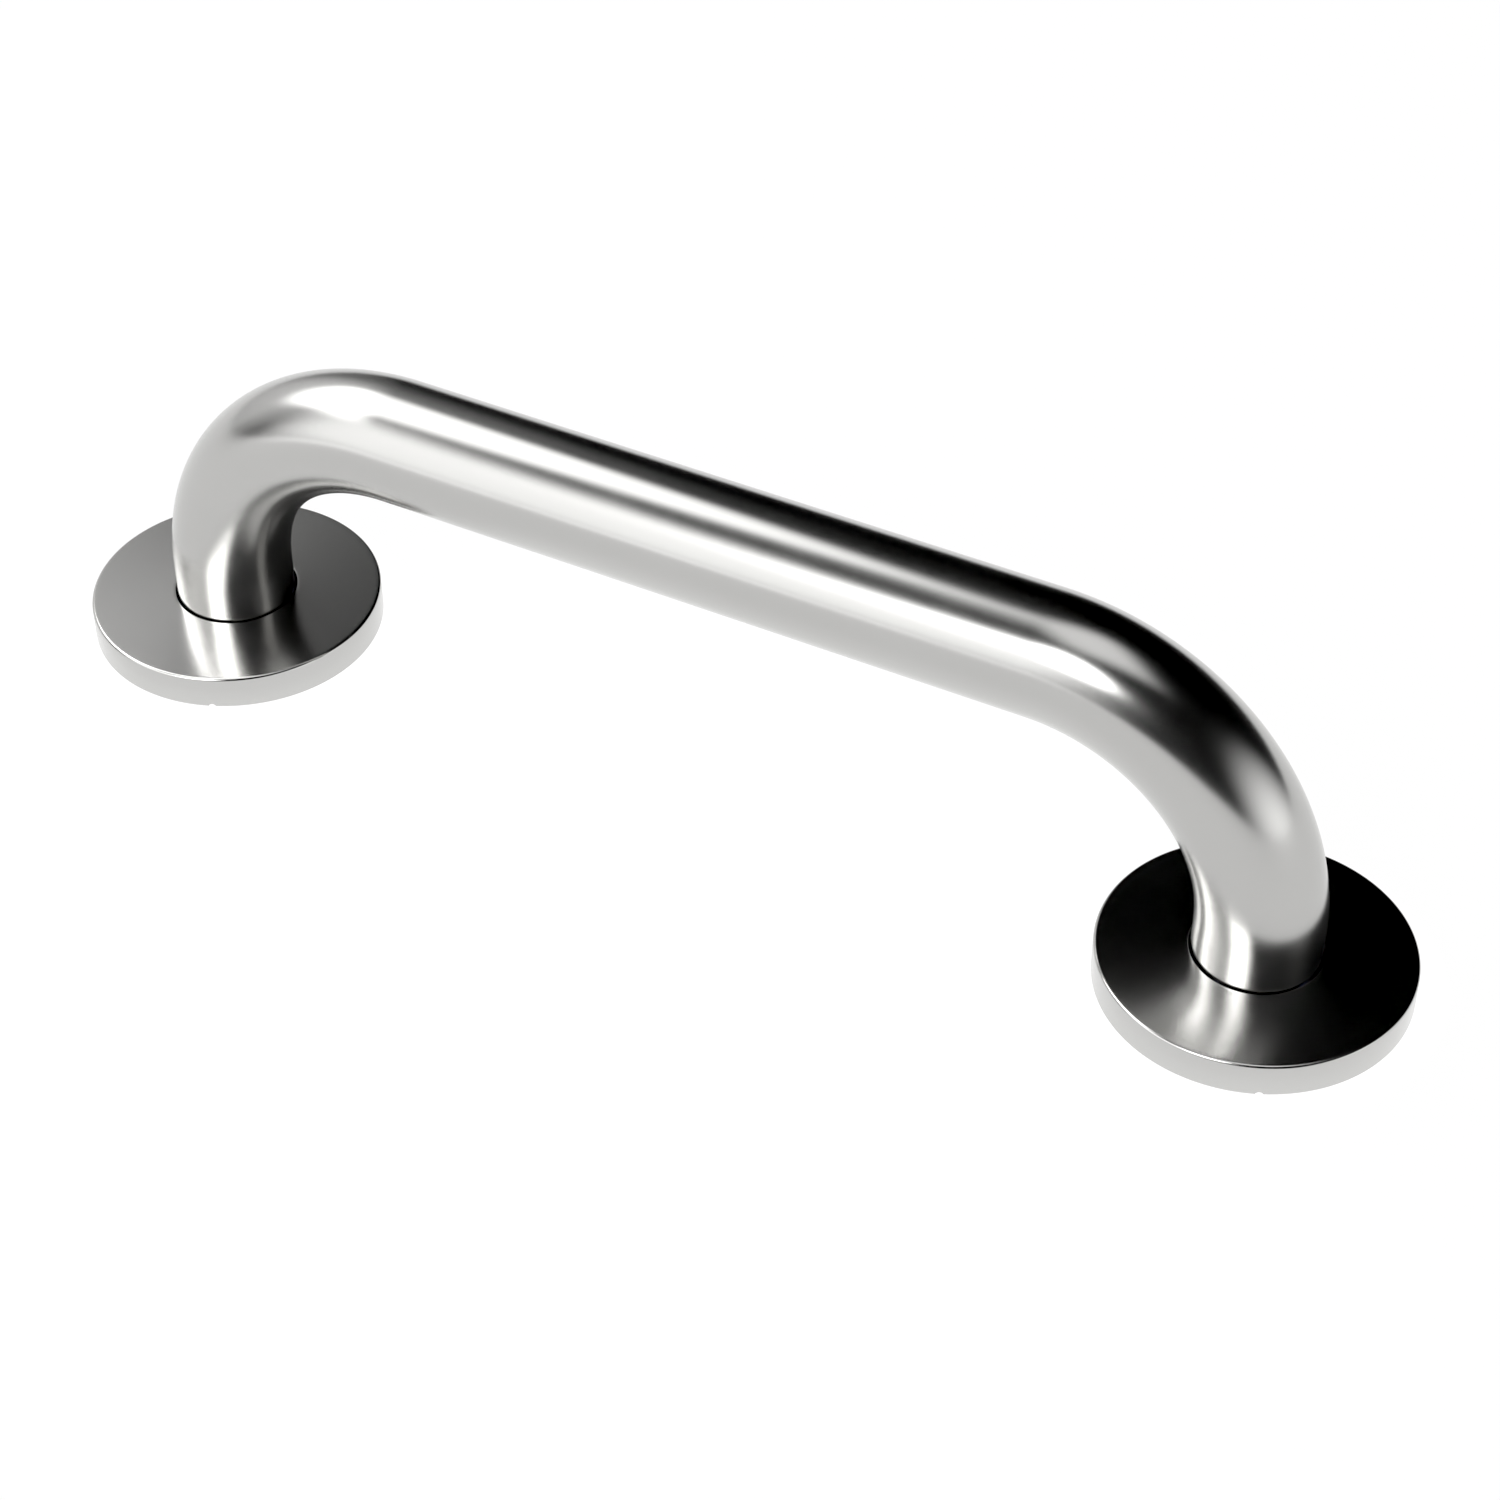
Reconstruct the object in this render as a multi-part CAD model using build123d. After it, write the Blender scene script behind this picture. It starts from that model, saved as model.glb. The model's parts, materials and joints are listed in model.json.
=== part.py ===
from build123d import *
import os

# A wall-mounted grab rail of bent stainless steel tube with a low round cover rose over
# each foot. X runs along the bar, Y across it and Z out from the wall. The origin is on the
# wall, midway between the feet. Lengths are in millimetres and angles in degrees.

# Rail tube
FOOT_CENTRES = 300.0
TUBE_D = 32.0
TUBE_WALL = 1.5
BAR_HEIGHT = 79.0  # wall to the bar's centreline
BEND_RADIUS = 60.0  # of the tube's centreline

# Wall gasket, under the flange plate
GASKET_T = 1.0
GASKET_OUTER_R = 37.0
GASKET_INNER_R = 17.5
GASKET_HOLE_R = 3.0

# Flange plate, welded round the foot of the tube
PLATE_T = 4.0
PLATE_R = 37.8
PLATE_BORE_GAP = 0.05
PLATE_EDGE_BREAK = 0.3
SCREW_COUNT = 3
SCREW_PCD = 56.0
SCREW_HOLE_R = 2.75
SCREW_SINK_R = 5.2
SCREW_SINK_ANGLE = 90.0

# Weld bead between plate and tube
WELD_LEG = 3.0
WELD_THROAT_SAG = 0.5  # how far the bead's face is hollowed

# Cover rose, a thin cap that lifts off over the flange plate
COVER_R = 39.5
COVER_WALL = 1.0
COVER_EDGE_Z = 9.2  # height of the outer edge of the top
COVER_CROWN_Z = 10.2  # height of the top at the tube
COVER_HOLE_GAP = 0.6
COVER_RIM_FILLET = 0.8
COVER_INNER_FILLET = 0.5
COVER_EDGE_BREAK = 0.15
NOTCH_R = 1.1  # pry notch for a screwdriver's tip
NOTCH_DROP = 0.45  # of the notch's centre below the wall plane
NOTCH_ANGLE = -66.0
NOTCH_LENGTH = 6.0

# Grip ring, an O-ring between the plate's edge and the cover's skirt
RING_SECTION_D = 1.6
RING_GAP = 0.05
GROOVE_WIDTH = 1.8

TUBE_R = TUBE_D / 2
PLATE_BACK_Z = GASKET_T
PLATE_FRONT_Z = PLATE_BACK_Z + PLATE_T
PLATE_BORE_R = TUBE_R + PLATE_BORE_GAP
COVER_HOLE_R = TUBE_R + COVER_HOLE_GAP
COVER_INNER_R = COVER_R - COVER_WALL
RING_Z = PLATE_BACK_Z + PLATE_T / 2
RING_CENTRE_R = COVER_INNER_R - RING_GAP - RING_SECTION_D / 2
GROOVE_BOTTOM_R = RING_CENTRE_R - RING_SECTION_D / 2 - RING_GAP
FEET = {"left": (-FOOT_CENTRES / 2, 180.0), "right": (FOOT_CENTRES / 2, 0.0)}


def turned(face):
    """The solid that a face drawn in radius and height makes about Z."""
    return revolve(Plane.XZ * face, Axis.Z)


def turned_polygon(points, breaks):
    """The turned solid of a polygon whose corners in breaks, as (corner, radius), are rounded."""
    face = make_face(Polyline(points, close=True))
    for corner, radius in breaks:
        face = fillet(face.vertices().sort_by_distance(corner)[0], radius)
    return turned(face)


def screw_places(outward):
    """Places of the screw holes, the first one pointing outward along the rail."""
    return PolarLocations(SCREW_PCD / 2, SCREW_COUNT, start_angle=outward)


def make_rail_tube():
    """The whole tube: leg, bend, bar, bend, leg."""
    half = FOOT_CENTRES / 2
    centreline = FilletPolyline(
        (-half, 0, PLATE_BACK_Z),
        (-half, 0, BAR_HEIGHT),
        (half, 0, BAR_HEIGHT),
        (half, 0, PLATE_BACK_Z),
        radius=BEND_RADIUS,
    )
    section = Circle(TUBE_R) - Circle(TUBE_R - TUBE_WALL)
    return sweep(Plane((-half, 0, PLATE_BACK_Z)) * section, path=centreline)


def make_flange_plate(outward):
    """A turned disc with a grooved edge and countersunk screw holes."""
    groove_low = RING_Z - GROOVE_WIDTH / 2
    groove_high = RING_Z + GROOVE_WIDTH / 2
    corners = [
        (PLATE_BORE_R, PLATE_BACK_Z),
        (PLATE_R, PLATE_BACK_Z),
        (PLATE_R, groove_low),
        (GROOVE_BOTTOM_R, groove_low),
        (GROOVE_BOTTOM_R, groove_high),
        (PLATE_R, groove_high),
        (PLATE_R, PLATE_FRONT_Z),
        (PLATE_BORE_R, PLATE_FRONT_Z),
    ]
    plate = turned_polygon(
        corners,
        breaks=[(corners[1], PLATE_EDGE_BREAK), (corners[6], PLATE_EDGE_BREAK)],
    )
    sink = CounterSinkHole(SCREW_HOLE_R, SCREW_SINK_R, 2 * PLATE_T, SCREW_SINK_ANGLE)
    for place in screw_places(outward):
        plate -= place * Pos(0, 0, PLATE_FRONT_Z) * sink
    return plate


def make_weld_bead():
    """A slightly hollow fillet weld round the tube, on top of the plate."""
    toe = (TUBE_R + WELD_LEG, PLATE_FRONT_Z)
    head = (TUBE_R, PLATE_FRONT_Z + WELD_LEG)
    root = (TUBE_R, PLATE_FRONT_Z)
    outline = [Line(root, toe), SagittaArc(toe, head, WELD_THROAT_SAG), Line(head, root)]
    return turned(make_face(outline))


def make_wall_gasket(outward):
    """A flat rubber ring that seals the plate's back to the wall."""
    ring = Circle(GASKET_OUTER_R) - Circle(GASKET_INNER_R)
    for place in screw_places(outward):
        ring -= place * Circle(GASKET_HOLE_R)
    return extrude(ring, GASKET_T)


def make_grip_ring():
    """The O-ring in the plate's groove that holds the cover by friction."""
    return Pos(0, 0, RING_Z) * Torus(RING_CENTRE_R, RING_SECTION_D / 2)


def crown_height(radius):
    """Height of the cover's slightly conical top at a radius."""
    rise = COVER_CROWN_Z - COVER_EDGE_Z
    return COVER_CROWN_Z - rise * (radius - COVER_HOLE_R) / (COVER_R - COVER_HOLE_R)


def make_cover_rose():
    """The cap: a short skirt, a rounded rim and a top that rises to the tube's hole."""
    corners = [
        (COVER_R, 0),
        (COVER_R, COVER_EDGE_Z),
        (COVER_HOLE_R, COVER_CROWN_Z),
        (COVER_HOLE_R, COVER_CROWN_Z - COVER_WALL),
        (COVER_INNER_R, crown_height(COVER_INNER_R) - COVER_WALL),
        (COVER_INNER_R, 0),
    ]
    radii = [
        COVER_EDGE_BREAK,
        COVER_RIM_FILLET,
        COVER_EDGE_BREAK,
        COVER_EDGE_BREAK,
        COVER_INNER_FILLET,
        COVER_EDGE_BREAK,
    ]
    cap = turned_polygon(corners, breaks=zip(corners, radii))
    notch = Pos(COVER_R, 0, -NOTCH_DROP) * Rot(0, 90, 0) * Cylinder(NOTCH_R, NOTCH_LENGTH)
    return cap - Rot(0, 0, NOTCH_ANGLE) * notch


os.makedirs("parts", exist_ok=True)
export_step(make_rail_tube(), "parts/rail_tube.step")
for side, (foot_x, outward) in FEET.items():
    pieces = {
        "flange_plate": make_flange_plate(outward),
        "weld_bead": make_weld_bead(),
        "wall_gasket": make_wall_gasket(outward),
        "grip_ring": make_grip_ring(),
        "cover_rose": make_cover_rose(),
    }
    for name, solid in pieces.items():
        export_step(Pos(foot_x, 0, 0) * solid, f"parts/{side}_{name}.step")
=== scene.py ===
import json
import math

import bmesh
import bpy
import numpy as np
from mathutils import Matrix, Quaternion, Vector


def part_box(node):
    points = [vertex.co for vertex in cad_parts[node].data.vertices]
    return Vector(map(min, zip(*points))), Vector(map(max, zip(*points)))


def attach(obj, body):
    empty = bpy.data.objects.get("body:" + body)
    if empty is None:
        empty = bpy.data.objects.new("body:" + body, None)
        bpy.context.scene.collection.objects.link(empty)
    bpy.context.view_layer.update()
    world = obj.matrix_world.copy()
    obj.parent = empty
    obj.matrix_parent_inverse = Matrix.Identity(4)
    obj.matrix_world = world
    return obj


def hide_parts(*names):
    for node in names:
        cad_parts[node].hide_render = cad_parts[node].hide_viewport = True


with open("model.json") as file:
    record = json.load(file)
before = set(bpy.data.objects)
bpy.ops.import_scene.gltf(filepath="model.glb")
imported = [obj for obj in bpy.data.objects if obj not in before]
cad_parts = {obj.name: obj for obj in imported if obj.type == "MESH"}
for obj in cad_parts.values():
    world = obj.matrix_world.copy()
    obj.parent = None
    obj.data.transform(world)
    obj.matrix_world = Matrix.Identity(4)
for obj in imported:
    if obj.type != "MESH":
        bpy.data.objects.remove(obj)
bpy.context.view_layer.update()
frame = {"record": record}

MM = 0.001

# ---------------------------------------------------------------- sizes, from the frame
tube_low, tube_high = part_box("rail_tube")
TUBE_R = tube_high.y
TUBE_WALL = 1.5 * MM
TUBE_FOOT_Z = tube_low.z
BAR_Z = tube_high.z - TUBE_R
FOOT_X = tube_high.x - TUBE_R
BEND_R = 60 * MM
LIP_BREAK = 0.15 * MM
TUBE_SIDES = 144

cover_low, cover_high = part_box("right_cover_rose")
COVER_R = cover_high.y
COVER_WALL = 1.0 * MM
COVER_EDGE_Z = 9.2 * MM
COVER_CROWN_Z = 10.2 * MM
COVER_HOLE_R = TUBE_R + 0.6 * MM
COVER_INNER_R = COVER_R - COVER_WALL
RIM_FILLET = 0.8 * MM
INNER_FILLET = 0.5 * MM
EDGE_BREAK = 0.15 * MM
NOTCH_R = 1.1 * MM
NOTCH_DROP = 0.45 * MM
NOTCH_ANGLE = math.radians(-66)

plate_low, plate_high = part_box("right_flange_plate")
PLATE_R = plate_high.y
PLATE_BACK_Z = plate_low.z
PLATE_FRONT_Z = plate_high.z
PLATE_BORE_R = TUBE_R + 0.05 * MM
PLATE_CHAMFER = 0.15 * MM  # of the screw holes, on the plate's back
screws = next(m for m in frame["record"]["mounts"] if m["kind"] == "bolt_pattern")["dims"]
SCREW_COUNT = screws["count"]
SCREW_CIRCLE_R = screws["pcd_mm"] / 2 * MM
SCREW_HOLE_R = screws["hole_r_mm"] * MM
SINK_R = 5.2 * MM
CUTTER_SIDES = 72
CUTTER_PAST = 1 * MM  # how far a cutter runs past the faces that it cuts
MERGE_GAP = 0.002 * MM  # points closer than this become one after a cut

gasket_low, gasket_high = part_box("right_wall_gasket")
GASKET_OUTER_R = gasket_high.y
GASKET_INNER_R = 17.5 * MM
GASKET_HOLE_R = 3.0 * MM
GASKET_EDGE_R = 0.08 * MM

ring_low, ring_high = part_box("right_grip_ring")
RING_SECTION_R = (ring_high.z - ring_low.z) / 2
RING_Z = (ring_high.z + ring_low.z) / 2
RING_CENTRE_R = ring_high.y - RING_SECTION_R
GROOVE_WIDTH = 1.8 * MM
GROOVE_BOTTOM_R = RING_CENTRE_R - RING_SECTION_R - 0.05 * MM
FLASH_HEIGHT = 0.03 * MM
FLASH_WIDTH = 0.07  # of the section's radius

weld_low, weld_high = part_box("right_weld_bead")
WELD_LEG = weld_high.z - weld_low.z
WELD_SAG = 0.5 * MM
WELD_RIPPLES = 64
RIPPLE_HEIGHT = 0.16 * MM

WORN_RADIUS = 1 * MM  # an outward edge rounded this tightly shows full wear

SIDES = {"left": -FOOT_X, "right": FOOT_X}


# ---------------------------------------------------------------- mesh helpers
def rounded(corners, radii, steps=6):
    """A closed outline whose corners are rounded by arcs tangent to both sides."""
    outline = []
    count = len(corners)
    for i, (corner, radius) in enumerate(zip(corners, radii)):
        here = Vector(corner)
        back = (Vector(corners[i - 1]) - here).normalized()
        ahead = (Vector(corners[(i + 1) % count]) - here).normalized()
        half = back.angle(ahead) / 2
        reach = radius / math.tan(half)
        middle = here + (back + ahead).normalized() * (radius / math.sin(half))
        first = here + back * reach - middle
        sweep = (math.pi - 2 * half) * (1 if back.cross(ahead) < 0 else -1)
        for k in range(steps + 1):
            turn = sweep * k / steps
            spoke = Vector(
                (
                    first.x * math.cos(turn) - first.y * math.sin(turn),
                    first.x * math.sin(turn) + first.y * math.cos(turn),
                )
            )
            outline.append(tuple(middle + spoke))
    return outline


def dense(outline, longest):
    """The same closed outline with its long sides divided."""
    out = []
    for i, here in enumerate(outline):
        there = outline[(i + 1) % len(outline)]
        parts = max(1, math.ceil(math.dist(here, there) / longest))
        for k in range(parts):
            t = k / parts
            out.append((here[0] + (there[0] - here[0]) * t, here[1] + (there[1] - here[1]) * t))
    return out


def add_attribute(mesh, name, values):
    """Stores one number, or one triple of numbers, for each point."""
    values = np.asarray(values, np.float32)
    if values.ndim == 3:
        attribute = mesh.attributes.new(name, "FLOAT_VECTOR", "POINT")
        attribute.data.foreach_set("vector", values.ravel())
    else:
        attribute = mesh.attributes.new(name, "FLOAT", "POINT")
        attribute.data.foreach_set("value", values.ravel())


def grid_mesh(name, rows, **attributes):
    """A closed mesh of quads from rings of points: both directions of the grid wrap round."""
    rows = np.asarray(rows, float)
    count, around = rows.shape[:2]
    index = np.arange(count * around).reshape(count, around)
    quads = np.stack(
        [index, np.roll(index, -1, 1), np.roll(np.roll(index, -1, 0), -1, 1), np.roll(index, -1, 0)],
        axis=-1,
    ).reshape(-1, 4)
    points = rows.reshape(-1, 3)
    a, b, c = points[quads[:, 0]], points[quads[:, 1]], points[quads[:, 2]]
    d = points[quads[:, 3]]
    volume = np.einsum("ij,ij->i", a, np.cross(b, c) + np.cross(c, d)).sum()
    if volume < 0:
        quads = quads[:, ::-1]
    mesh = bpy.data.meshes.new(name)
    mesh.from_pydata(points.tolist(), [], quads.tolist())
    mesh.update()
    for key, values in attributes.items():
        add_attribute(mesh, key, values)
    thing = bpy.data.objects.new(name, mesh)
    bpy.context.scene.collection.objects.link(thing)
    smooth(thing)
    return thing


def smooth(thing, sharp_angle=35):
    """Smooth shading that keeps flats flat and edges crisp."""
    mesh = thing.data
    mesh.shade_smooth()
    mesh.set_sharp_from_angle(angle=math.radians(sharp_angle))
    weighted = thing.modifiers.new("weighted", "WEIGHTED_NORMAL")
    weighted.keep_sharp = True


def edge_wear(outline):
    """How strongly each point of an outline sits on an outward edge, from 0 to 1."""
    points = np.array(outline)
    before = points - np.roll(points, 1, 0)
    after = np.roll(points, -1, 0) - points
    cross = before[:, 0] * after[:, 1] - before[:, 1] * after[:, 0]
    turn = np.arctan2(cross, (before * after).sum(1))
    bend = turn * np.sign(turn.sum()) / (np.hypot(*before.T) + np.hypot(*after.T)) * 2
    return np.clip(bend * WORN_RADIUS, 0, 1)


def turned(name, outline, centre_x, angles, shape=None):
    """A closed outline of (radius, height) turned about a foot's axis."""
    radius = np.array([p[0] for p in outline])[:, None]
    height = np.array([p[1] for p in outline])[:, None] * np.ones(len(angles))
    angle = np.asarray(angles)[None, :]
    wear = edge_wear(outline)[:, None] * np.ones(len(angles))
    if shape is not None:
        radius, height = shape(radius, height, angle)
    x = centre_x + radius * np.cos(angle)
    y = radius * np.sin(angle)
    return grid_mesh(name, np.stack(np.broadcast_arrays(x, y, height), axis=-1), wear=wear)


def even_angles(count):
    return np.linspace(0, 2 * math.pi, count, endpoint=False)


def place(thing, body, slot, *nodes):
    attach(thing, body)
    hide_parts(*nodes)


# ---------------------------------------------------------------- rail tube
def rail_path():
    """Stations along the tube's centreline, each a point and the direction across it in the plane."""
    leg_top = BAR_Z - BEND_R
    stations = [((-FOOT_X, z), (-1, 0)) for z in np.linspace(TUBE_FOOT_Z, leg_top, 8)[:-1]]
    for a in np.radians(np.linspace(180, 90, 61)):
        stations.append(
            (
                (-FOOT_X + BEND_R + BEND_R * math.cos(a), leg_top + BEND_R * math.sin(a)),
                (math.cos(a), math.sin(a)),
            )
        )
    straight = FOOT_X - BEND_R
    stations += [((x, BAR_Z), (0, 1)) for x in np.linspace(-straight, straight, 31)[1:-1]]
    mirrored = [((-p[0], p[1]), (-d[0], d[1])) for p, d in stations if p[0] <= -straight]
    return stations + mirrored[::-1]


def tube_ring(station, radius, lift=0):
    """One ring of the tube's skin, round a station of the centreline."""
    (x, z), (across_x, across_z) = station
    around = even_angles(TUBE_SIDES)
    aside = radius * np.cos(around)
    return np.stack([x + aside * across_x, radius * np.sin(around), z + lift + aside * across_z], -1)


def make_rail():
    """The bent tube with its inner wall and two faced ends, whose lips are lightly broken."""
    stations = rail_path()
    centres = np.array([centre for centre, _ in stations])
    travel = np.concatenate([[0, 0], np.hypot(*np.diff(centres, axis=0).T).cumsum()])
    travel = np.append(travel, travel[-1])
    around = even_angles(TUBE_SIDES)
    skins, grains = [], []
    for radius, inward in ((TUBE_R, 1), (TUBE_R - TUBE_WALL, -1)):
        lip = radius - inward * LIP_BREAK
        rings = [tube_ring(stations[0], lip), tube_ring(stations[0], radius, LIP_BREAK)]
        rings += [tube_ring(station, radius) for station in stations[1:-1]]
        rings += [tube_ring(stations[-1], radius, LIP_BREAK), tube_ring(stations[-1], lip)]
        skins.append(rings)
        grain = (travel[:, None], radius * np.cos(around), radius * np.sin(around))
        grains.append(np.stack(np.broadcast_arrays(*grain), -1))
    rows = skins[0] + skins[1][::-1]
    return grid_mesh("satin_rail", rows, grain=np.concatenate([grains[0], grains[1][::-1]]))


# ---------------------------------------------------------------- cover rose
def crown_height(radius):
    slope = (COVER_CROWN_Z - COVER_EDGE_Z) / (COVER_R - COVER_HOLE_R)
    return COVER_CROWN_Z - slope * (radius - COVER_HOLE_R)


def cover_angles():
    """Columns round a cover, closer together at the pry notch."""
    half_width = 1.5 * NOTCH_R / COVER_R
    near = NOTCH_ANGLE + np.linspace(-half_width, half_width, 49)
    wide = NOTCH_ANGLE + half_width + (2 * math.pi - 2 * half_width) * np.linspace(0, 1, 289)[1:-1]
    return np.concatenate([near, wide])


def cut_notch(radius, height, angle):
    """Raises the skirt's lowest rings over a round notch."""
    off = (angle - NOTCH_ANGLE + math.pi) % (2 * math.pi) - math.pi
    aside = COVER_R * off
    lift = np.sqrt(np.maximum(NOTCH_R**2 - aside**2, 0)) - NOTCH_DROP
    share = np.clip(1 - height / (2.5 * MM), 0, 1)
    return radius, height + np.maximum(lift, 0) * share


def make_cover(side, x):
    corners = [
        (COVER_R, 0),
        (COVER_R, COVER_EDGE_Z),
        (COVER_HOLE_R, COVER_CROWN_Z),
        (COVER_HOLE_R, COVER_CROWN_Z - COVER_WALL),
        (COVER_INNER_R, crown_height(COVER_INNER_R) - COVER_WALL),
        (COVER_INNER_R, 0),
    ]
    radii = [EDGE_BREAK, RIM_FILLET, EDGE_BREAK, EDGE_BREAK, INNER_FILLET, EDGE_BREAK]
    outline = dense(rounded(corners, radii, steps=8), 0.8 * MM)
    return turned(f"{side}_cover", outline, x, cover_angles(), cut_notch)


# ---------------------------------------------------------------- hidden parts of a foot
def merge_close(mesh):
    """Joins points that a cut left almost on top of each other."""
    shell = bmesh.new()
    shell.from_mesh(mesh)
    bmesh.ops.remove_doubles(shell, verts=shell.verts, dist=MERGE_GAP)
    shell.to_mesh(mesh)
    shell.free()


def cut_holes(thing, cutters):
    """Cuts closed cutter meshes out of a piece and keeps the result as plain mesh."""
    for cutter in cutters:
        cut = thing.modifiers.new("cut", "BOOLEAN")
        cut.operation = "DIFFERENCE"
        cut.solver = "EXACT"
        cut.object = cutter
    for modifier in [m for m in thing.modifiers if m.type == "WEIGHTED_NORMAL"]:
        thing.modifiers.remove(modifier)
    graph = bpy.context.evaluated_depsgraph_get()
    mesh = bpy.data.meshes.new_from_object(thing.evaluated_get(graph), depsgraph=graph)
    thing.modifiers.clear()
    thing.data = mesh
    merge_close(mesh)
    for cutter in cutters:
        bpy.data.objects.remove(cutter)
    smooth(thing)


def screw_angles(x):
    """The first screw hole of a foot points outward along the rail."""
    outward = 0 if x > 0 else math.pi
    return [outward + k * 2 * math.pi / SCREW_COUNT for k in range(SCREW_COUNT)]


def make_cutter(outline, centre_x, centre_y):
    """A closed tool turned about its own axis, from (radius, height) points, lowest first."""
    angles = even_angles(CUTTER_SIDES) + math.pi / CUTTER_SIDES
    points = []
    for radius, height in outline:
        for a in angles:
            points.append((centre_x + radius * math.cos(a), centre_y + radius * math.sin(a), height))
    faces = []
    for low in range(0, len(points) - CUTTER_SIDES, CUTTER_SIDES):
        high = low + CUTTER_SIDES
        for k in range(CUTTER_SIDES):
            ahead = (k + 1) % CUTTER_SIDES
            faces.append((low + k, low + ahead, high + ahead, high + k))
    faces.append(tuple(range(CUTTER_SIDES))[::-1])
    faces.append(tuple(range(len(points) - CUTTER_SIDES, len(points))))
    mesh = bpy.data.meshes.new("cutter")
    mesh.from_pydata(points, [], faces)
    cutter = bpy.data.objects.new("cutter", mesh)
    bpy.context.scene.collection.objects.link(cutter)
    return cutter


def hole_cutters(x, outline):
    """One cutter for each place on a foot's screw circle."""
    cutters = []
    for angle in screw_angles(x):
        centre_x = x + SCREW_CIRCLE_R * math.cos(angle)
        cutters.append(make_cutter(outline, centre_x, SCREW_CIRCLE_R * math.sin(angle)))
    return cutters


def make_plate(side, x):
    """The flange plate: a disc with a ring groove in its edge and countersunk holes."""
    half_groove = GROOVE_WIDTH / 2
    corners = [
        (PLATE_BORE_R, PLATE_BACK_Z),
        (PLATE_R, PLATE_BACK_Z),
        (PLATE_R, RING_Z - half_groove),
        (GROOVE_BOTTOM_R, RING_Z - half_groove),
        (GROOVE_BOTTOM_R, RING_Z + half_groove),
        (PLATE_R, RING_Z + half_groove),
        (PLATE_R, PLATE_FRONT_Z),
        (PLATE_BORE_R, PLATE_FRONT_Z),
    ]
    radii = [0.1 * MM, 0.3 * MM, 0.1 * MM, 0.15 * MM, 0.15 * MM, 0.1 * MM, 0.3 * MM, 0.1 * MM]
    plate = turned(f"{side}_plate", dense(rounded(corners, radii), 1.5 * MM), x, even_angles(288))
    tool = [
        (SCREW_HOLE_R + PLATE_CHAMFER + CUTTER_PAST, PLATE_BACK_Z - CUTTER_PAST),
        (SCREW_HOLE_R, PLATE_BACK_Z + PLATE_CHAMFER),
        (SCREW_HOLE_R, PLATE_FRONT_Z - (SINK_R - SCREW_HOLE_R)),
        (SINK_R + CUTTER_PAST, PLATE_FRONT_Z + CUTTER_PAST),
    ]
    cut_holes(plate, hole_cutters(x, tool))
    return plate


def make_gasket(side, x):
    """The rubber sheet ring between plate and wall."""
    corners = [(GASKET_INNER_R, 0), (GASKET_OUTER_R, 0)]
    corners += [(r, PLATE_BACK_Z) for r, _ in corners[::-1]]
    outline = dense(rounded(corners, [GASKET_EDGE_R] * 4, steps=3), 2 * MM)
    gasket = turned(f"{side}_gasket", outline, x, even_angles(240))
    punch = [(GASKET_HOLE_R, -CUTTER_PAST), (GASKET_HOLE_R, PLATE_BACK_Z + CUTTER_PAST)]
    cut_holes(gasket, hole_cutters(x, punch))
    return gasket


def make_ring(side, x):
    """The O-ring, with the fine flash line that its mould leaves."""
    outline = []
    for a in even_angles(48):
        flash = FLASH_HEIGHT * math.exp(-((math.sin(a) / FLASH_WIDTH) ** 2))
        radius = RING_SECTION_R - FLASH_HEIGHT + flash
        outline.append((RING_CENTRE_R + radius * math.cos(a), RING_Z + radius * math.sin(a)))
    return turned(f"{side}_ring", outline, x, even_angles(288))


def make_weld(side, x):
    """The fillet weld, with the overlapping ripples of a hand-laid bead."""
    toe = np.array([TUBE_R + WELD_LEG, PLATE_FRONT_Z])
    head = np.array([TUBE_R, PLATE_FRONT_Z + WELD_LEG])
    root = np.array([TUBE_R, PLATE_FRONT_Z])
    inward = (2 * root - toe - head) / np.linalg.norm(2 * root - toe - head)
    steps = 20
    face = []
    for k in range(steps + 1):
        t = k / steps
        face.append(toe + (head - toe) * t + inward * WELD_SAG * 4 * t * (1 - t))
    outline = [tuple(root)] + [tuple(p) for p in face]
    along = np.concatenate([[0], np.linspace(0, 1, steps + 1)])[:, None]
    crest = np.sin(np.pi * along) ** 0.6

    def ripple(radius, height, angle):
        wobble = 0.12 * np.sin(5 * angle + 1) + 0.08 * np.sin(11 * angle)
        phase = WELD_RIPPLES * angle / (2 * math.pi) + wobble - 0.9 * np.sin(np.pi * along)
        saw = phase - np.floor(phase)
        step = RIPPLE_HEIGHT * crest * np.sin(np.pi * saw) ** 0.8 * (0.6 + 0.4 * saw)
        return radius + step * 0.7, height + step * 0.7

    return turned(f"{side}_weld", outline, x, even_angles(WELD_RIPPLES * 12), ripple)


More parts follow.
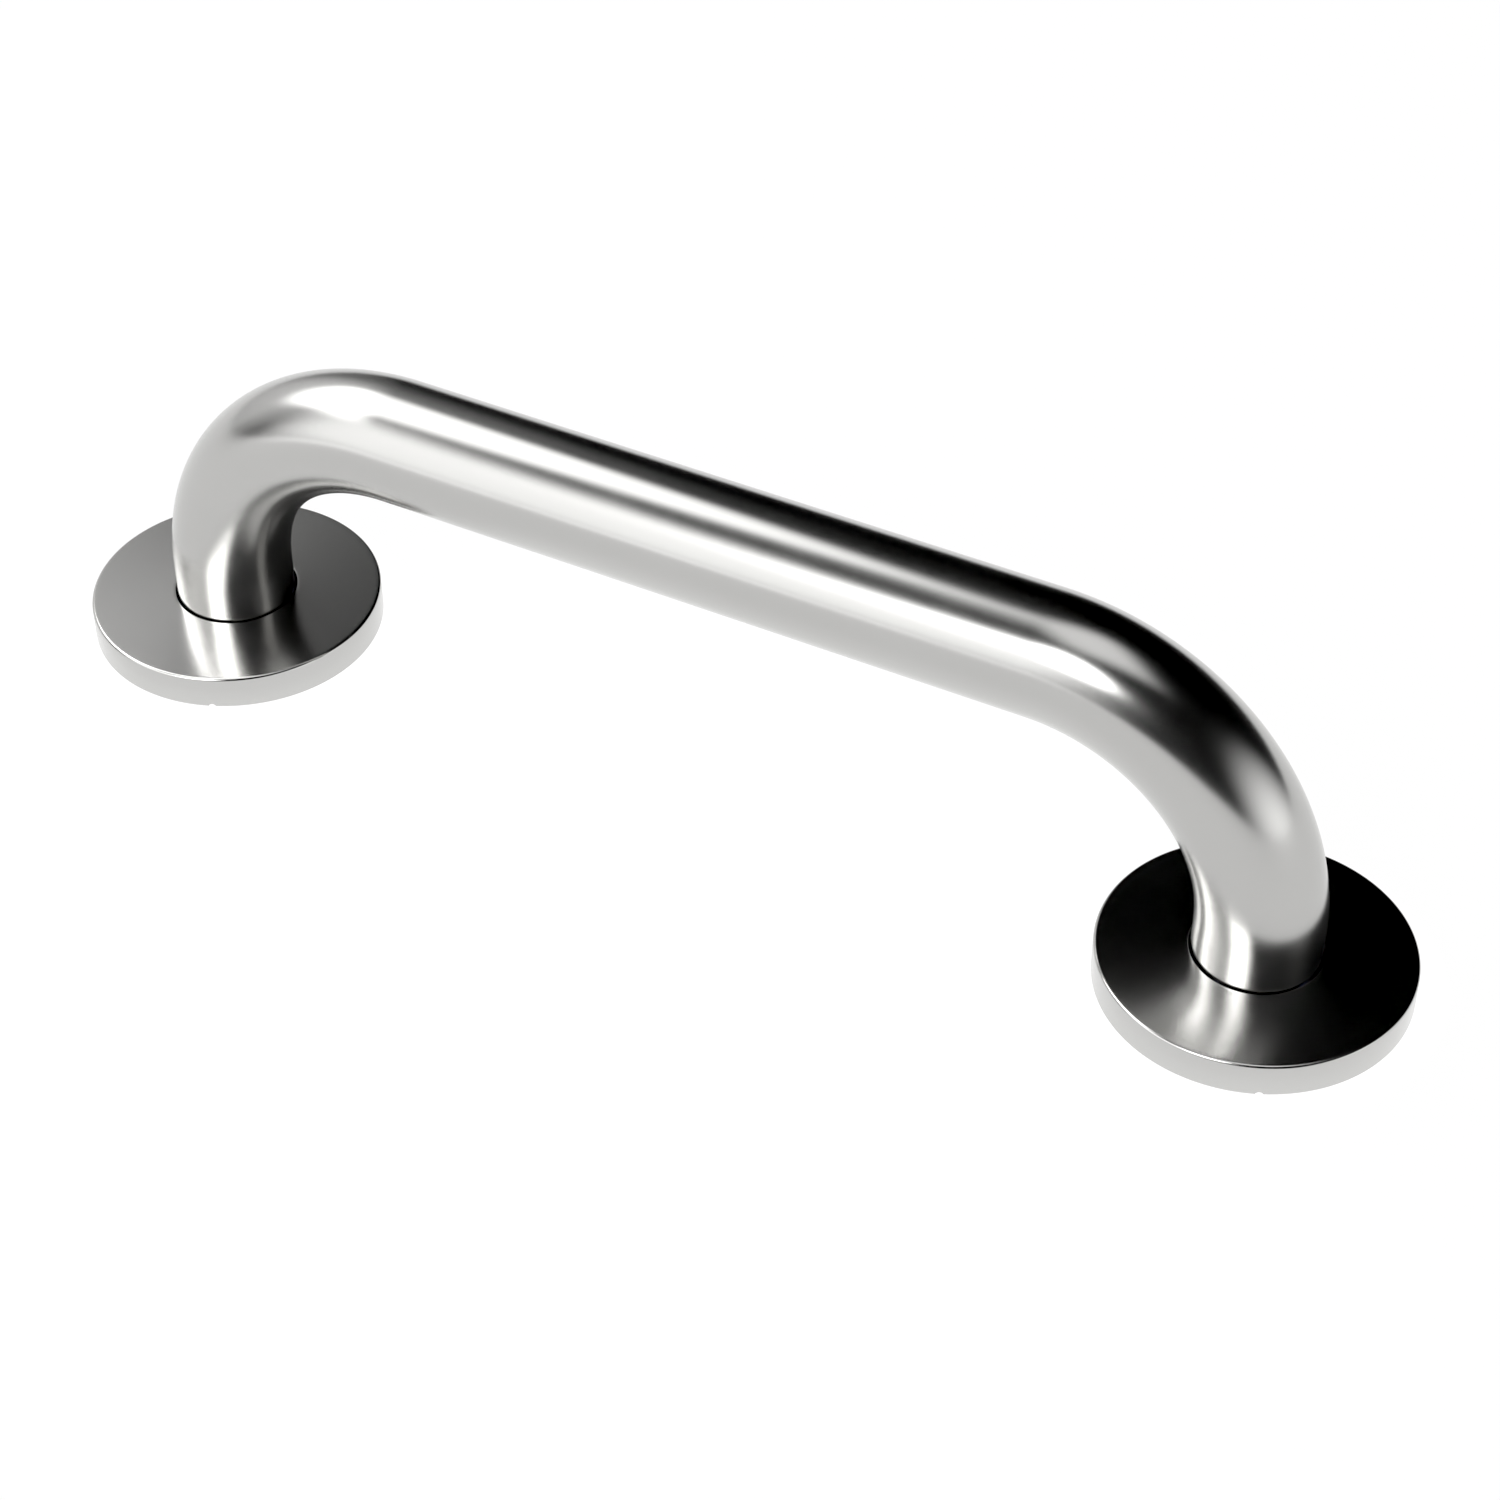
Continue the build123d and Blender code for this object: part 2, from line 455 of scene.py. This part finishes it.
# ---------------------------------------------------------------- node writing
class Nodes:
    """Writes a node tree. Each call adds one node and gives one of its outputs."""

    def __init__(self, tree):
        self.tree = tree

    def put(self, socket, value):
        if isinstance(value, bpy.types.NodeSocket):
            self.tree.links.new(value, socket)
        else:
            socket.default_value = value

    def add(self, kind, values=(), output=0, **settings):
        node = self.tree.nodes.new("ShaderNode" + kind)
        for key, value in settings.items():
            setattr(node, key, value)
        for key, value in dict(values).items():
            self.put(node.inputs[key], value)
        return node.outputs[output]

    def math(self, operation, *values):
        return self.add("Math", enumerate(values), operation=operation)

    def vector(self, operation, *values):
        return self.add("VectorMath", enumerate(values), operation=operation)

    def dot(self, a, b):
        return self.add("VectorMath", {0: a, 1: b}, "Value", operation="DOT_PRODUCT")

    def length(self, a):
        return self.add("VectorMath", {0: a}, "Value", operation="LENGTH")

    def join(self, *values):
        return self.add("CombineXYZ", enumerate(values))

    def split(self, vector, axis):
        return self.add("SeparateXYZ", {0: vector}, axis)

    def noise(self, vector, size, detail=2.0):
        """Noise from 0 to 1 whose features are about as wide as size, one number or one per axis."""
        sizes = size if isinstance(size, tuple) else (size,) * 3
        stretched = self.vector("MULTIPLY", vector, tuple(1 / side for side in sizes))
        return self.add("TexNoise", {"Vector": stretched, "Scale": 1.0, "Detail": detail})

    def fade(self, value, start, end, low=0.0, high=1.0):
        """Runs smoothly from low at start to high at end."""
        values = {0: value, 1: start, 2: end, 3: low, 4: high}
        return self.add("MapRange", values, interpolation_type="SMOOTHSTEP")

    def mix(self, factor, a, b):
        return self.add("Mix", {0: factor, 6: a, 7: b}, 2, data_type="RGBA")

    def bump(self, height, distance, normal=None):
        values = {"Height": height, "Distance": distance, "Strength": 1.0}
        if normal is not None:
            values["Normal"] = normal
        return self.add("Bump", values)


def principled(name, metallic):
    """A new material, with its tree's writer and its shader's inputs."""
    material = bpy.data.materials.new(name)
    material.use_nodes = True
    inputs = material.node_tree.nodes["Principled BSDF"].inputs
    inputs["Metallic"].default_value = metallic
    return material, Nodes(material.node_tree), inputs


# ---------------------------------------------------------------- materials
TUBE_TONE = ((0.512, 0.510, 0.500, 1), (0.496, 0.493, 0.482, 1))
COVER_TONE = ((0.566, 0.564, 0.554, 1), (0.550, 0.547, 0.536, 1))
SATIN_ROUGHNESS = 0.2
LINE_WIDTH = 0.12 * MM
LINE_LENGTH = 7 * MM
LINE_DEPTH = 0.0015 * MM
HAZE_SIZE = 22 * MM
PATCH_SIZE = 5 * MM
PLATE_TONE = (0.5, 0.497, 0.485, 1)
TOOL_RING_PITCH = 0.35 * MM
TOOL_RING_DEPTH = 0.001 * MM
HEAT_REACH = 7 * MM
HEAT_TINTS = {
    0.12: (0.13, 0.16, 0.30, 1),
    0.25: (0.28, 0.17, 0.22, 1),
    0.42: (0.42, 0.28, 0.13, 1),
    0.7: (0.55, 0.47, 0.30, 1),
}


def foot_point(nodes):
    """Place measured from the nearer foot's axis, so one material serves both feet."""
    here = nodes.add("TexCoord", output="Object")
    x = nodes.math("SUBTRACT", nodes.math("ABSOLUTE", nodes.split(here, "X")), FOOT_X)
    return nodes.join(x, nodes.split(here, "Y"), nodes.split(here, "Z"))


def foot_radius(nodes, point):
    return nodes.length(nodes.join(nodes.split(point, "X"), nodes.split(point, "Y"), 0.0))


def satin(nodes, inputs, tone, lines, point, wear=None):
    """A satin polish: fine lines, a faint haze and the odd longer hairline."""
    haze = nodes.noise(point, HAZE_SIZE, 3.0)
    patches = nodes.noise(point, PATCH_SIZE, 4.0)
    hairs = nodes.fade(lines, 0.66, 0.74)
    nodes.put(inputs["Base Color"], nodes.mix(haze, *tone))
    rough = nodes.math("MULTIPLY_ADD", haze, 0.04, SATIN_ROUGHNESS - 0.03)
    rough = nodes.math("MULTIPLY_ADD", patches, 0.02, rough)
    rough = nodes.math("MULTIPLY_ADD", hairs, 0.03, rough)
    if wear is not None:
        rubbed = nodes.math("MULTIPLY", wear, nodes.fade(patches, 0.35, 0.6, 0.4, 1.0))
        rough = nodes.math("MULTIPLY_ADD", rubbed, -0.035, rough)
    nodes.put(inputs["Roughness"], rough)
    nodes.put(inputs["Normal"], nodes.bump(lines, LINE_DEPTH))


def tube_steel():
    """Satin tube: the polish lines run round it, as a belt polisher leaves them."""
    material, nodes, inputs = principled("satin_tube_steel", 1)
    grain = nodes.add("Attribute", output="Vector", attribute_name="grain")
    lines = nodes.noise(grain, (LINE_WIDTH, LINE_LENGTH, LINE_LENGTH), 3.0)
    satin(nodes, inputs, TUBE_TONE, lines, grain)
    return material


def cover_steel():
    """Satin cap: the polish lines are rings, and its edges are rubbed a little brighter."""
    material, nodes, inputs = principled("satin_cover_steel", 1)
    point = foot_point(nodes)
    radius = foot_radius(nodes, point)
    turned_place = nodes.join(
        nodes.math("SUBTRACT", radius, nodes.split(point, "Z")),
        nodes.split(point, "X"),
        nodes.split(point, "Y"),
    )
    lines = nodes.noise(turned_place, (LINE_WIDTH, LINE_LENGTH, LINE_LENGTH), 3.0)
    wear = nodes.add("Attribute", output="Fac", attribute_name="wear")
    satin(nodes, inputs, COVER_TONE, lines, point, wear)
    return material


def heat_tint(nodes, distance, metal):
    """The oxide colours that a weld leaves on steel, by distance from the bead."""
    ramp = nodes.add("ValToRGB", {"Fac": nodes.fade(distance, 0.0, HEAT_REACH)})
    elements = ramp.node.color_ramp.elements
    elements[0].color = (0.16, 0.17, 0.23, 1)
    elements[1].color = metal
    for position, colour in HEAT_TINTS.items():
        elements.new(position).color = colour
    return ramp


def plate_steel():
    """Machined plate: fine tool rings, and heat colours round the weld."""
    material, nodes, inputs = principled("machined_plate_steel", 1)
    point = foot_point(nodes)
    radius = foot_radius(nodes, point)
    uneven = nodes.noise(point, 4 * MM, 3.0)
    from_weld = nodes.math("SUBTRACT", radius, TUBE_R + WELD_LEG)
    from_weld = nodes.math("MULTIPLY_ADD", uneven, 2.5 * MM, from_weld)
    on_front = nodes.fade(nodes.split(point, "Z"), PLATE_FRONT_Z - 2 * MM, PLATE_FRONT_Z)
    from_weld = nodes.math("ADD", from_weld, nodes.fade(on_front, 0.0, 1.0, 8 * MM, -1 * MM))
    nodes.put(inputs["Base Color"], heat_tint(nodes, from_weld, PLATE_TONE))
    rings = nodes.math("SINE", nodes.math("MULTIPLY", radius, 2 * math.pi / TOOL_RING_PITCH))
    rings = nodes.math("MULTIPLY_ADD", nodes.noise(point, 1.5 * MM, 3.0), 0.3, rings)
    nodes.put(inputs["Roughness"], nodes.fade(uneven, 0.3, 0.7, 0.18, 0.21))
    nodes.put(inputs["Normal"], nodes.bump(rings, TOOL_RING_DEPTH))
    return material


def weld_steel():
    """As-welded steel: oxide colours between the crests and the toes."""
    material, nodes, inputs = principled("weld_bead_steel", 1)
    point = foot_point(nodes)
    cloud = nodes.noise(point, 1.8 * MM, 4.0)
    colour = nodes.mix(nodes.fade(cloud, 0.35, 0.65), (0.40, 0.36, 0.30, 1), (0.22, 0.22, 0.26, 1))
    nodes.put(inputs["Base Color"], colour)
    nodes.put(inputs["Roughness"], nodes.fade(cloud, 0.3, 0.7, 0.26, 0.42))
    nodes.put(inputs["Normal"], nodes.bump(nodes.noise(point, 0.25 * MM, 2.0), 0.01 * MM))
    return material


def rubber(name, colour, worn_colour, roughness, grain_size, grain_depth):
    """Black rubber with a fine skin and a little bloom."""
    material, nodes, inputs = principled(name, 0)
    point = foot_point(nodes)
    bloom = nodes.noise(point, 6 * MM, 4.0)
    nodes.put(inputs["Base Color"], nodes.mix(nodes.fade(bloom, 0.4, 0.75), colour, worn_colour))
    nodes.put(inputs["Roughness"], nodes.fade(bloom, 0.3, 0.7, roughness, roughness + 0.1))
    skin = nodes.noise(point, grain_size, 3.0)
    nodes.put(inputs["Normal"], nodes.bump(skin, grain_depth))
    return material


def o_ring_rubber():
    """Smooth moulded rubber, with a skin finer than the sheet's."""
    dark, worn = (0.012, 0.012, 0.013, 1), (0.02, 0.02, 0.021, 1)
    return rubber("o_ring_rubber", dark, worn, 0.42, 0.2 * MM, 0.002 * MM)


def sheet_rubber():
    """Dull sheet rubber with a pitted skin."""
    dark, worn = (0.022, 0.022, 0.023, 1), (0.05, 0.05, 0.05, 1)
    return rubber("gasket_sheet_rubber", dark, worn, 0.75, 0.35 * MM, 0.02 * MM)


def paint(thing, material):
    thing.data.materials.clear()
    thing.data.materials.append(material)


# ---------------------------------------------------------------- the object
rail = make_rail()
paint(rail, tube_steel())
place(rail, "rail", "tube_steel", "rail_tube")

FOOT_PIECES = [
    (make_cover, cover_steel(), "{}_cover", "cover_steel", "{}_cover_rose"),
    (make_ring, o_ring_rubber(), "{}_ring", "ring_rubber", "{}_grip_ring"),
    (make_plate, plate_steel(), "rail", "plate_steel", "{}_flange_plate"),
    (make_weld, weld_steel(), "rail", "weld_steel", "{}_weld_bead"),
    (make_gasket, sheet_rubber(), "rail", "gasket_rubber", "{}_wall_gasket"),
]
for side, x in SIDES.items():
    for make, material, body, slot, node in FOOT_PIECES:
        piece = make(side, x)
        paint(piece, material)
        place(piece, body.format(side), slot, node.format(side))

# ---------------------------------------------------------------- camera
camera = bpy.data.objects.new("camera", bpy.data.cameras.new("camera"))
bpy.context.scene.collection.objects.link(camera)
camera.data.lens = 79.7
camera.data.sensor_width = 36
camera.location = (0.3173, -0.5633, 0.5759)
AZIMUTH, ELEVATION, ROLL = (math.radians(a) for a in (28.58, 41.12, -0.33))
back = Vector(
    (
        math.sin(AZIMUTH) * math.cos(ELEVATION),
        -math.cos(AZIMUTH) * math.cos(ELEVATION),
        math.sin(ELEVATION),
    )
)
camera.rotation_mode = "QUATERNION"
camera.rotation_quaternion = (-back).to_track_quat("-Z", "Y") @ Quaternion((0, 0, 1), ROLL)
bpy.context.scene.camera = camera

# ---------------------------------------------------------------- floor and light
BLACK_LEVEL = 0.005
FLOOR_LIGHT = 1.005
FLOOR_SIZE = 40.0
FLOOR_DROP = 0.1 * MM
FLOOR_COLOUR = 0.02
FLOOR_GLEAM = 0.019  # what the lamps add to the floor's own glow
PAINTED_THROWN_LIGHT = 0.1  # painted light: how much brighter the floor's glow is made where the steel would throw light back on it
# how far that painted light reaches from a cover's rim and from the bar's line
THROWN_FROM_FOOT = 9 * MM
THROWN_FROM_BAR = 120 * MM

# azimuth and elevation of the lamp's middle and its half width and half height, in degrees, and
# its distance in metres from the rail; then how soft its rim is, its strength, and its
# squareness: 2 is an oval, 4 a rounded square
LAMPS = {
    "left_key": (175, 50, 18, 24, 1, 0.25, 2.3, 2),
    "left_strip": (185, 45, 22, 9, 20, 0.7, 3.5, 2),
    "left_fill": (170, 25, 30, 25, 20, 0.4, 0.6, 4),
    "left_low": (155, 10, 30, 40, 3.5, 0.2, 0.2, 4),
    "front_key": (-95, 40, 13, 13, 3.5, 0.25, 6.5, 2),
    "front_fill": (-120, 25, 30, 23, 1, 0.5, 1.75, 3),
    "overhead": (-60, 85, 18, 18, 8, 0.5, 1.2, 4),
    "right_low": (0, -12, 30, 30, 20, 1, 2, 2),
}


def make_quad(name, half_width, half_height):
    """One square face about its own origin, for a lamp or the floor."""
    corners = [(-half_width, -half_height, 0), (half_width, -half_height, 0)]
    corners += [(half_width, half_height, 0), (-half_width, half_height, 0)]
    mesh = bpy.data.meshes.new(name)
    mesh.from_pydata(corners, [], [(0, 1, 2, 3)])
    quad = bpy.data.objects.new(name, mesh)
    bpy.context.scene.collection.objects.link(quad)
    return quad


def lamp_glow(name, half_width, half_height, rim, strength, square):
    """Light that fades out at an oval or rounded square, and clear air beyond it."""
    material = bpy.data.materials.new(name)
    material.use_nodes = True
    nodes = Nodes(material.node_tree)
    here = nodes.add("TexCoord", output="Object")
    reach = 0.0
    for axis, half in (("X", half_width), ("Y", half_height)):
        off = nodes.math("ABSOLUTE", nodes.math("DIVIDE", nodes.split(here, axis), half))
        reach = nodes.math("ADD", nodes.math("POWER", off, square), reach)
    reach = nodes.math("POWER", reach, 1 / square)
    light = nodes.add("Emission", {"Strength": nodes.fade(reach, 1 + rim, 1 - rim, 0.0, strength)})
    both = nodes.add("AddShader", {0: light, 1: nodes.add("BsdfTransparent")})
    nodes.put(material.node_tree.nodes["Material Output"].inputs["Surface"], both)
    material.cycles.emission_sampling = "NONE"
    return material


def make_lamp(name, azimuth, elevation, half_width, half_height, distance, rim, strength, square):
    """A soft box that faces the rail and that the camera doesn't see."""
    half_width = distance * math.tan(math.radians(half_width))
    half_height = distance * math.tan(math.radians(half_height))
    panel = make_quad(name, half_width * (1 + rim), half_height * (1 + rim))
    azimuth, elevation = math.radians(azimuth), math.radians(elevation)
    level = math.cos(elevation)
    middle = Vector((level * math.cos(azimuth), level * math.sin(azimuth), math.sin(elevation)))
    right = Vector((-math.sin(azimuth), math.cos(azimuth), 0))
    turn = Matrix((right, middle.cross(right), middle)).transposed()
    panel.matrix_world = Matrix.Translation(middle * distance) @ turn.to_4x4()
    panel.visible_camera = False
    paint(panel, lamp_glow(name, half_width, half_height, rim, strength, square))


def make_world():
    """A dark studio, but for the pale backdrop that the camera sees beyond the floor."""
    world = bpy.data.worlds.new("studio")
    world.use_nodes = True
    nodes = Nodes(world.node_tree)
    seen = nodes.add("LightPath", output="Is Camera Ray")
    light = nodes.add("Mix", {0: seen, 2: 0.0, 3: FLOOR_LIGHT}, data_type="FLOAT")
    background = world.node_tree.nodes["Background"].inputs
    nodes.put(background["Strength"], light)
    nodes.put(background["Color"], (1, 1, 1, 1))
    bpy.context.scene.world = world


def painted_thrown_light(nodes):
    """Painted light: extra glow of the floor close to the covers and under the bar, standing in for
    the light that the steel throws back on it.
    """
    point = foot_point(nodes)
    foot_end = COVER_R + THROWN_FROM_FOOT
    by_foot = nodes.fade(foot_radius(nodes, point), COVER_R, foot_end, PAINTED_THROWN_LIGHT, 0.0)
    aside = nodes.math("ABSOLUTE", nodes.split(point, "Y"))
    by_bar = nodes.fade(aside, 0.0, THROWN_FROM_BAR, PAINTED_THROWN_LIGHT, 0.0)
    between = nodes.fade(nodes.split(point, "X"), -2 * COVER_R, -COVER_R, 1.0, 0.0)
    return nodes.math("MAXIMUM", by_foot, nodes.math("MULTIPLY", by_bar, between))


def make_floor():
    """A pale floor that glows, so that it stays bright under the object."""
    floor = make_quad("floor", FLOOR_SIZE / 2, FLOOR_SIZE / 2)
    floor.location.z = -FLOOR_DROP
    material, nodes, inputs = principled("pale_floor", 0)
    nodes.put(inputs["Base Color"], (FLOOR_COLOUR,) * 3 + (1,))
    nodes.put(inputs["Specular IOR Level"], 0.0)
    nodes.put(inputs["Roughness"], 1.0)
    nodes.put(inputs["Emission Color"], (1, 1, 1, 1))
    # the floor's even glow, plus the painted light close to the covers and under the bar
    glow = nodes.math("ADD", painted_thrown_light(nodes), FLOOR_LIGHT - FLOOR_GLEAM)
    nodes.put(inputs["Emission Strength"], glow)
    paint(floor, material)


def set_exposure():
    """Plain colours, with the deepest shadows printed black."""
    view = bpy.context.scene.view_settings
    view.view_transform = "Standard"
    view.use_curve_mapping = True
    view.curve_mapping.black_level = (BLACK_LEVEL,) * 3
    view.curve_mapping.update()


make_world()
make_floor()
for name, lamp in LAMPS.items():
    make_lamp(name, *lamp)
set_exposure()
